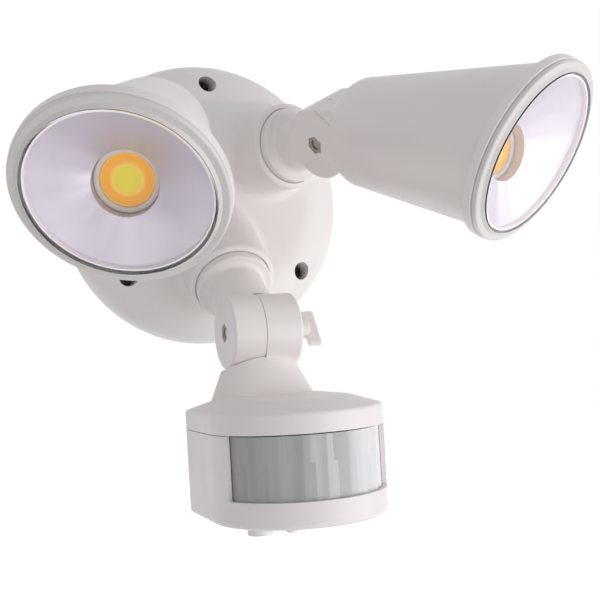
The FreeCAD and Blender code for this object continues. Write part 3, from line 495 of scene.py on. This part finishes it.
def fresnel_sheet():
    material, tree, place = new_material("milky_polyethylene_fresnel_sheet")
    angle, column, upper, height = window_grid(tree, place)
    stepped = add(tree, "Math", {0: upper, 1: ROW_STEP, 2: column}, operation="MULTIPLY_ADD")
    number = add(tree, "Math", {0: stepped.outputs["Value"]}, operation="FLOOR")
    tone = add(tree, "TexWhiteNoise", {"W": number.outputs["Value"]}, noise_dimensions="1D")
    # Painted shade: long soft dark streaks stand for the dark inside of the sensor seen through the sheet.
    tall = add(tree, "Mapping", {"Vector": place, "Scale": (1, 1, STREAK_SQUASH)})
    painted_shade_streaks = add(tree, "TexNoise", {"Vector": tall.outputs["Vector"], "Scale": scale_for(STREAK_SIZE),
                                     "Detail": 2.0})
    striped = add(tree, "Math", {0: tone.outputs["Value"], 1: 0.9, 2: painted_shade_streaks.outputs["Fac"]},
                  operation="MULTIPLY_ADD")
    # Painted light: the strips right of the front are lightened, as the lamp on the right would light them.
    painted_light_ramp = add(tree, "MapRange", {"Value": angle, "From Min": PAINTED_LIGHT_ANGLES[0], "From Max": PAINTED_LIGHT_ANGLES[1],
                                      "To Min": 0.0, "To Max": 1.2}, interpolation_type="SMOOTHSTEP")
    mixed = add(tree, "Math", {0: striped.outputs["Value"], 1: painted_light_ramp.outputs["Result"]}, operation="ADD")
    shade = add(tree, "MapRange", {"Value": mixed.outputs["Value"], "From Min": 0.3, "From Max": 2.3})
    colour = add(tree, "ValToRGB", {"Fac": shade.outputs["Result"]},
                 stops=[(0.0, "#969A98"), (0.4, "#B9BBBA"), (1.0, "#F0F0F3")])
    bump = add(tree, "Bump", {"Height": groove_wave(tree, column, upper, height), "Distance": 0.02 * MM,
                              "Strength": 0.4})
    surface = add(tree, "BsdfPrincipled", {"Base Color": colour.outputs["Color"], "Roughness": 0.26,
                                           "IOR": 1.52, "Normal": bump.outputs["Normal"]})
    add(tree, "OutputMaterial", {"Surface": surface.outputs["BSDF"]})
    return material


fresnel_pe = fresnel_sheet()
print("window finish:", fresnel_pe.name, "with", len(fresnel_pe.node_tree.nodes), "nodes")

# %% [markdown]
# Each CAD node now gets the finish of the real piece it stands for. The names follow the parts list, so the
# two lamps and their arms share their lines.

# %% Finishes of the CAD nodes
FINISH = {
    "wall_gasket": epdm, "wall_plate": inner_asa, "base_cover": housing_asa, "cover_screws": screw_steel_painted_shade,
    "cable_grommet": epdm, "control_board": green_board, "led_driver": dark_pbt, "relay": relay_case,
    "terminal_block": terminal_pa, "terminal_screws": zinc_steel, "sensor_arm": housing_asa,
    "sensor_arm_seal": flange_epdm, "sensor_arm_nut": inner_asa, "sensor_hinge_nut": zinc_steel,
    "wing_bolt": wing_pom, "sensor_cap": housing_asa, "sensor_case": housing_asa,
    "fresnel_lens": fresnel_pe, "sensor_board": green_board, "pyro_sensor": sensor_can,
    "trimmers": relay_case, "time_dial": dial_pom, "dusk_dial": dial_pom,
}
for side in SIDES:
    FINISH.update({side + "_" + piece: finish for piece, finish in {
        "lamp_arm": housing_asa, "lamp_arm_seal": flange_epdm, "lamp_arm_nut": inner_asa,
        "lamp_hinge_nut": zinc_steel, "hinge_bolt": zinc_steel, "shell": lamp_asa, "bezel": bezel_asa_painted_shade,
        "lens": clear_pc, "lens_seal": silicone, "reflector": reflector_skin[side], "led_board": cream_board,
        "led_chip": phosphor[side], "heat_sink": cast_aluminium,
    }.items()})


def give_finish(obj, material):
    """Puts one material on a piece, in place of any it had."""
    obj.data.materials.clear()
    obj.data.materials.append(material)


for name, finish in FINISH.items():
    give_finish(NODES[name], finish)
print("finished nodes:", len(FINISH), "left:", sorted(set(NODES) - set(FINISH)))

# %% [markdown]
# Some fine pieces are added here, over or in place of their CAD nodes. They all end the same way. What was
# modelled in a handy frame goes to its real place with its transform applied, so that its place is in its
# mesh, and it then rides on the body that carries it.


# %% Helpers for new pieces
def start_alone():
    """Deselects all, so that an operator only acts on the piece in hand."""
    bpy.ops.object.select_all(action="DESELECT")


def place_piece(name, material, body, place=None):
    """Names the active piece, moves it for good by the given matrix, dresses it and puts it on its body."""
    piece = bpy.context.object
    piece.name = name
    piece.data.name = name
    if place is not None:
        piece.matrix_world = place @ piece.matrix_world
    bpy.ops.object.transform_apply(location=True, rotation=True, scale=True)
    give_finish(piece, material)
    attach(piece, body)
    print(name, "has", len(piece.data.polygons), "faces")
    return piece


def pick_faces(piece, wanted):
    """Selects only the faces whose centre and normal pass the test. Leaves the piece in edit mode."""
    bpy.ops.object.mode_set(mode="EDIT")
    bpy.ops.mesh.select_mode(type="FACE")
    bpy.ops.mesh.select_all(action="DESELECT")
    bpy.ops.object.mode_set(mode="OBJECT")
    for face in piece.data.polygons:
        face.select = wanted(face.center, face.normal)
    bpy.ops.object.mode_set(mode="EDIT")


# %% [markdown]
# The Fresnel window starts as an upright open tube with one flat face for each column of lenses, as such
# sheets are pressed. The faces behind the jambs are deleted, and each column is inset and raised a little,
# which leaves a fine line between columns. Solidify gives the sheet its thickness.

# %% Fresnel window
WINDOW_HALF_ANGLE = 71.0
WINDOW_RADIUS = 35.65
SHEET_THICKNESS = 1.1
LENS_BORDER = 0.15
LENS_RISE = 0.06

low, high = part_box("fresnel_lens")
middle = Vector((HEAD_ARC_CENTRE[0] * MM, HEAD_ARC_CENTRE[1] * MM, (low.z + high.z) / 2))
start_alone()
bpy.ops.mesh.primitive_cylinder_add(vertices=WINDOW_STRIPS, radius=WINDOW_RADIUS * MM, depth=high.z - low.z,
                                    end_fill_type="NOTHING", location=middle,
                                    rotation=(0, 0, math.radians(180)))
window = bpy.context.object
bpy.ops.object.transform_apply(location=True, rotation=True, scale=True)


def behind_jambs(centre, normal):
    """Whether a face is too far round the head to be seen between the case's jambs."""
    out = centre - middle
    return abs(math.degrees(math.atan2(out.x, -out.y))) > WINDOW_HALF_ANGLE


pick_faces(window, behind_jambs)
bpy.ops.mesh.delete(type="FACE")
bpy.ops.mesh.select_all(action="SELECT")
bpy.ops.mesh.inset(thickness=LENS_BORDER * MM, depth=LENS_RISE * MM, use_individual=True)
bpy.ops.object.mode_set(mode="OBJECT")
wall = window.modifiers.new("sheet", "SOLIDIFY")
wall.thickness = SHEET_THICKNESS * MM
wall.offset = -1
bpy.ops.object.modifier_apply(modifier="sheet")
window = place_piece("sensor_window", fresnel_pe, "sensor_head")
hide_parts("fresnel_lens")

# %% [markdown]
# The LED is a disc of silicone gel in two zones. Dams, fine raised walls of silicone, keep the gels apart
# while they set. The piece starts as a filled circle on the chip's back and is extruded to its height. Then
# insets that go up and down by turns make the dams and the zones.

# %% LED emitters
EMITTER_HEIGHT = 1.5
EMITTER_RADIUS = LED_RADIUS - 0.02
# Each step is an inset and a rise. They make the outer dam, the orange ring and the inner dam in turn.
ZONE_STEPS = [(0.25, 0.0), (0.15, 0.28), (0.35, 0.0), (0.15, -0.30), (3.25, 0.03), (0.12, 0.22),
              (0.35, 0.0), (0.12, -0.20)]


def led_emitter(side):
    start_alone()
    bpy.ops.mesh.primitive_circle_add(vertices=72, radius=EMITTER_RADIUS * MM, fill_type="NGON")
    bpy.ops.object.mode_set(mode="EDIT")
    bpy.ops.mesh.select_all(action="SELECT")
    bpy.ops.mesh.extrude_region_move(TRANSFORM_OT_translate={"value": (0, 0, EMITTER_HEIGHT * MM)})
    for thickness, rise in ZONE_STEPS:
        bpy.ops.mesh.inset(thickness=thickness * MM, depth=rise * MM)
    bpy.ops.mesh.select_all(action="SELECT")
    bpy.ops.mesh.normals_make_consistent(inside=False)
    bpy.ops.object.mode_set(mode="OBJECT")
    bpy.ops.object.shade_smooth_by_angle(angle=math.radians(30))
    at_back = lamp_axis(side) @ shift(0, -(LED_DEPTH - EMITTER_HEIGHT), 0) @ turn(90, "X")
    emitter = place_piece(side + "_led_emitter", phosphor[side], side + "_lamp", at_back)
    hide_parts(side + "_led_chip")


for side in SIDES:
    led_emitter(side)

# %% [markdown]
# A holder ring clamps each LED to its board and fills the foot of the reflector's hole. A white rim stands
# on the reflector's edge, just inside the lens. Each is a disc whose two faces are inset and then bridged
# through the middle, which leaves a ring, and its edges are bevelled.


# %% Rings
def face_axis(side):
    """The frame of a lamp's front face, with Z towards the viewer."""
    face = lamp_axis(side) @ shift(0, -FACE_DEPTH, 0)
    return face @ turn(FACE_TILT, "X") @ turn(90, "X")


def ring_piece(side, piece, material, place, inner, outer, low, high, edge):
    """A ring about Z from low to high, with bevelled edges, put in its place on the lamp."""
    start_alone()
    bpy.ops.mesh.primitive_cylinder_add(vertices=96, radius=outer * MM, depth=(high - low) * MM,
                                        location=(0, 0, (high + low) / 2 * MM))
    ring = bpy.context.object
    bpy.ops.object.transform_apply(location=True, rotation=True, scale=True)
    pick_faces(ring, lambda centre, normal: abs(normal.z) > 0.9)
    bpy.ops.mesh.inset(thickness=(outer - inner) * MM, use_individual=True)
    bpy.ops.mesh.bridge_edge_loops()
    bpy.ops.mesh.select_all(action="SELECT")
    bpy.ops.mesh.normals_make_consistent(inside=False)
    bpy.ops.object.mode_set(mode="OBJECT")
    edges = ring.modifiers.new("edges", "BEVEL")
    edges.width = edge * MM
    edges.segments = 2
    edges.limit_method = "ANGLE"
    edges.angle_limit = math.radians(50)
    bpy.ops.object.modifier_apply(modifier="edges")
    bpy.ops.object.shade_smooth_by_angle(angle=math.radians(40))
    place_piece(side + "_" + piece, material, side + "_lamp", place)


# %% LED holders and reflector rims
HOLDER = {"inner": 10.4, "outer": 12.4, "low": -EMITTER_HEIGHT, "high": 1.1, "edge": 0.25}
RIM = {"inner": 33.3, "outer": 34.05, "low": -2.8, "high": -0.3, "edge": 0.15}

for side in SIDES:
    at_led = lamp_axis(side) @ shift(0, -LED_DEPTH, 0) @ turn(90, "X")
    ring_piece(side, "led_holder", holder_pbt, at_led, **HOLDER)
    ring_piece(side, "reflector_rim", lamp_asa, face_axis(side), **RIM)

# %% [markdown]
# The front lens of each lamp is moulded like a very low hat: a flange lies under the bezel, and the clear
# face stands in the bezel's opening, flush with its inner edge. It is a disc whose front is inset and
# extruded, then bevelled, and whose back is hollowed in the same way to leave an even wall. One more inset
# keeps the smooth shading of the bevel off the flat face, which would bend the view like a bowl of water.

# %% Front lenses
FLANGE_RADIUS = 36.3
FLANGE_FRONT = -0.6
FACE_RADIUS = 34.95
FACE_FRONT = 1.6
FACE_BEVEL = 0.35
FACE_BORDER = 0.3
LENS_WALL = 1.8
LENS_SIDE_WALL = 0.8


def front_lens(side):
    start_alone()
    bpy.ops.mesh.primitive_cylinder_add(vertices=120, radius=FLANGE_RADIUS * MM, depth=LENS_WALL * MM,
                                        location=(0, 0, (FLANGE_FRONT - LENS_WALL / 2) * MM))
    lens = bpy.context.object
    bpy.ops.object.transform_apply(location=True, rotation=True, scale=True)
    rise = (FACE_FRONT - FLANGE_FRONT) * MM
    pick_faces(lens, lambda centre, normal: normal.z > 0.9)
    bpy.ops.mesh.inset(thickness=(FLANGE_RADIUS - FACE_RADIUS) * MM)
    bpy.ops.mesh.extrude_region_move(TRANSFORM_OT_translate={"value": (0, 0, rise)})
    bpy.ops.mesh.bevel(offset=FACE_BEVEL * MM, segments=3)
    pick_faces(lens, lambda centre, normal: normal.z > 0.99 and centre.xy.length < MM)
    bpy.ops.mesh.inset(thickness=FACE_BORDER * MM)
    pick_faces(lens, lambda centre, normal: normal.z < -0.9)
    bpy.ops.mesh.inset(thickness=(FLANGE_RADIUS - FACE_RADIUS + LENS_SIDE_WALL) * MM)
    bpy.ops.mesh.extrude_region_move(TRANSFORM_OT_translate={"value": (0, 0, rise)})
    bpy.ops.object.mode_set(mode="OBJECT")
    bpy.ops.object.shade_smooth_by_angle(angle=math.radians(30))
    lens = place_piece(side + "_front_lens", clear_pc, side + "_lamp", face_axis(side))
    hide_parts(side + "_lens")


for side in SIDES:
    front_lens(side)

# %% [markdown]
# Two knobs under the sensor set how long the light stays on and how dark it must be. A ring of raised marks
# is moulded round each. One mark is a small block with bevelled edges, and its copies go round the knob over
# the 270 degrees that the knob turns. Each copy has its own mesh, and joining them makes one piece.

# %% Marks round the knobs
KNOB_CENTRES = {"time": -20.0, "dusk": -6.1}
KNOB_Y = -139.94
CASE_BOTTOM = -150.476
KNOB_LIMIT = 135
MARK_SIZE = (0.45, 1.1, 0.5)
MARK_BEVEL = 0.1
MARK_RADIUS = {"time": 6.9, "dusk": 3.7}
MARK_COUNT = {"time": 11, "dusk": 7}


def copy_round(count, first, last, centre):
    """Copies the active piece about an upright line, each copy with its own mesh, and joins them all."""
    model = bpy.context.object
    copies = [model]
    step = (last - first) / (count - 1)
    for index in range(1, count):
        start_alone()
        model.select_set(True)
        bpy.context.view_layer.objects.active = model
        bpy.ops.object.duplicate(linked=False)
        twin = bpy.context.object
        about = Matrix.Translation(centre)
        twin.matrix_world = about @ turn(step * index, "Z") @ about.inverted() @ model.matrix_world
        copies.append(twin)
    start_alone()
    for twin in copies:
        twin.select_set(True)
    bpy.context.view_layer.objects.active = model
    bpy.ops.object.join()
    bpy.ops.object.transform_apply(location=True, rotation=True, scale=True)


def knob_marks(knob):
    centre = Vector((KNOB_CENTRES[knob], KNOB_Y, CASE_BOTTOM)) * MM
    start_alone()
    bpy.ops.mesh.primitive_cube_add(size=MM, location=centre - Vector((0, MARK_RADIUS[knob] * MM, 0)))
    mark = bpy.context.object
    mark.scale = MARK_SIZE
    bpy.ops.object.transform_apply(location=False, rotation=False, scale=True)
    bpy.ops.object.mode_set(mode="EDIT")
    bpy.ops.mesh.select_all(action="SELECT")
    bpy.ops.mesh.bevel(offset=MARK_BEVEL * MM, segments=2)
    bpy.ops.object.mode_set(mode="OBJECT")
    about = Matrix.Translation(centre)
    mark.matrix_world = about @ turn(-KNOB_LIMIT, "Z") @ about.inverted() @ mark.matrix_world
    copy_round(MARK_COUNT[knob], -KNOB_LIMIT, KNOB_LIMIT, centre)
    place_piece(knob + "_scale_marks", housing_asa, "sensor_head")


for knob in KNOB_CENTRES:
    knob_marks(knob)

# %% [markdown]
# The photograph has the even white of a product shot. What the viewer sees of the room has to be white,
# while its light has to be softer than that, or the light's own shading would wash out. So one helper tells
# the rays that the viewer follows, straight, in a reflection or through clear plastic, from all others.


# %% What the viewer sees
def seen_by_viewer(tree):
    """1 for rays that the viewer follows and 0 for the others, as a socket."""
    rays = add(tree, "LightPath")
    seen = add(tree, "Math", {0: rays.outputs["Is Camera Ray"], 1: rays.outputs["Is Glossy Ray"]},
               operation="MAXIMUM")
    seen = add(tree, "Math", {0: seen.outputs["Value"], 1: rays.outputs["Is Transmission Ray"]},
               operation="MAXIMUM")
    return seen.outputs["Value"]


# %% [markdown]
# The floor is a pale painted board well below the light. A glow that only the viewer sees lifts it to white,
# so that it doesn't end in a grey line. It is clear from underneath, so that the light can be looked at
# from below.

# %% Floor
FLOOR_HEIGHT = -0.9                           # in metres
FLOOR_SIZE = 12
FLOOR_GLOW = 0.85
CLOUD_SCALE = 0.8

floor_paint, tree, place = new_material("pale_studio_floor")
cloud = add(tree, "TexNoise", {"Vector": place, "Scale": CLOUD_SCALE, "Detail": 2.0})
paint = add(tree, "ValToRGB", {"Fac": cloud.outputs["Fac"]}, stops=[(0.3, "#F1F1F0"), (0.7, "#F4F4F3")])
matt = add(tree, "BsdfDiffuse", {"Color": paint.outputs["Color"]})
glow = add(tree, "Emission", {"Color": "#FFFFFF", "Strength": FLOOR_GLOW})
lit = add(tree, "AddShader", {0: matt.outputs["BSDF"], 1: glow.outputs["Emission"]})
mix = add(tree, "MixShader", {"Fac": seen_by_viewer(tree), 1: matt.outputs["BSDF"],
                              2: lit.outputs["Shader"]})
open_back = add(tree, "BsdfTransparent")
facing = add(tree, "NewGeometry")
one_sided = add(tree, "MixShader", {"Fac": facing.outputs["Backfacing"], 1: mix.outputs["Shader"],
                                    2: open_back.outputs["BSDF"]})
add(tree, "OutputMaterial", {"Surface": one_sided.outputs["Shader"]})

start_alone()
bpy.ops.mesh.primitive_plane_add(size=FLOOR_SIZE, location=(0, 0, FLOOR_HEIGHT))
floor = bpy.context.object
floor.name = "studio_floor"
give_finish(floor, floor_paint)
print("floor at", FLOOR_HEIGHT, "m")

# %% [markdown]
# The room is a white world that gives soft light from all round, a little less from above than from the
# sides, because the tops are the greyest faces in the photograph. One large square lamp stands low on the
# right, which is why the right sides are bright. It is large so that its shadows stay soft.

# %% Room and lamp
ROOM_SIDE_LEVEL = 0.62
ROOM_TOP_LEVEL = 0.46
KEY_PLACE = Vector((1.05, -1.0, -0.55))       # in metres, as all of the room's sizes are
KEY_TARGET = Vector((0.02, -0.09, -0.04))
KEY_SIZE = 1.7
KEY_POWER = 17.0

world = bpy.data.worlds.new("white_room")
world.use_nodes = True
bpy.context.scene.world = world
tree = world.node_tree
tree.nodes.clear()
way = add(tree, "SeparateXYZ", {"Vector": add(tree, "TexCoord").outputs["Generated"]})
level = add(tree, "MapRange", {"Value": way.outputs["Z"], "From Min": -0.2, "From Max": 1.0,
                               "To Min": ROOM_SIDE_LEVEL, "To Max": ROOM_TOP_LEVEL})
room = add(tree, "Background", {"Color": "#FFFFFF", "Strength": level.outputs["Result"]})
white = add(tree, "Background", {"Color": "#FFFFFF", "Strength": 1.0})
mix = add(tree, "MixShader", {"Fac": seen_by_viewer(tree), 1: room.outputs["Background"],
                              2: white.outputs["Background"]})
add(tree, "OutputWorld", {"Surface": mix.outputs["Shader"]})

bpy.ops.object.light_add(type="AREA", location=KEY_PLACE)
key = bpy.context.object
key.name = "low_right_key"
key.data.size = KEY_SIZE
key.data.energy = KEY_POWER
key.rotation_mode = "QUATERNION"
key.rotation_quaternion = (KEY_TARGET - KEY_PLACE).to_track_quat("-Z", "Y")
print("key lamp:", KEY_POWER, "W at", round((KEY_TARGET - KEY_PLACE).length, 2), "m from its target")
